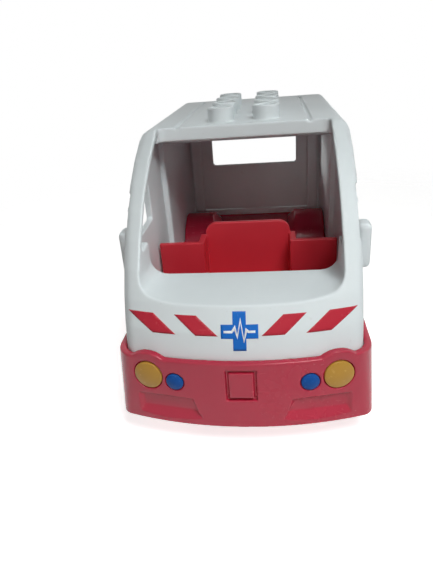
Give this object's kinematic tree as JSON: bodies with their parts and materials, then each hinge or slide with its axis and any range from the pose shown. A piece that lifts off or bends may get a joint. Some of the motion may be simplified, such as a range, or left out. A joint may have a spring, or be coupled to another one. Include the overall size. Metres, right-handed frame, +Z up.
{
  "type": "toy ambulance",
  "caption": "Moulded toy ambulance van for large building bricks, with an open windscreen, driver's seat, roof studs, a lift-up tailgate and rolling wheels.",
  "frame": {"origin": "on the ground, under the middle of the van's length and width", "axes": "+X is the van's own left, +Y points to its tail, so the nose faces -Y, and +Z is up"},
  "size_m": [0.0784, 0.1514, 0.089],
  "materials": {
    "shell_white": "cool white moulded plastic",
    "chassis_red": "red moulded plastic",
    "seat_red": "red moulded plastic",
    "lamp_yellow": "mustard yellow moulded plastic",
    "lamp_blue": "blue moulded plastic",
    "hub_white": "white moulded plastic",
    "tyre_black": "black moulded rubber",
    "axle_steel": "drawn steel rod",
    "screw_steel": "zinc-plated steel"
  },
  "bodies": {
    "van": {"chassis": "chassis_red", "underbody": "chassis_red", "underbody_screws": "screw_steel", "body_shell": "shell_white", "seat_moulding": "seat_red", "mirror_left": "shell_white", "mirror_right": "shell_white", "headlight_left": "lamp_yellow", "headlight_right": "lamp_yellow", "marker_light_left": "lamp_blue", "marker_light_right": "lamp_blue"},
    "front_wheels": {"front_axle": "axle_steel", "front_left_hub": "hub_white", "front_left_tyre": "tyre_black", "front_right_hub": "hub_white", "front_right_tyre": "tyre_black"},
    "rear_wheels": {"rear_axle": "axle_steel", "rear_left_hub": "hub_white", "rear_left_tyre": "tyre_black", "rear_right_hub": "hub_white", "rear_right_tyre": "tyre_black"},
    "tailgate": {"tailgate": "shell_white"}
  },
  "joints": [
    {"name": "front_axle_spin", "type": "hinge", "parent": "van", "child": "front_wheels", "pos_m": [0, -0.042, 0.012], "axis": [1, 0, 0], "continuous": true},
    {"name": "rear_axle_spin", "type": "hinge", "parent": "van", "child": "rear_wheels", "pos_m": [0, 0.044, 0.012], "axis": [1, 0, 0], "continuous": true},
    {"name": "tailgate_hinge", "type": "hinge", "parent": "van", "child": "tailgate", "pos_m": [0, 0.07035, 0.07915], "axis": [1, 0, 0], "range_deg": [0, 90]}
  ]
}
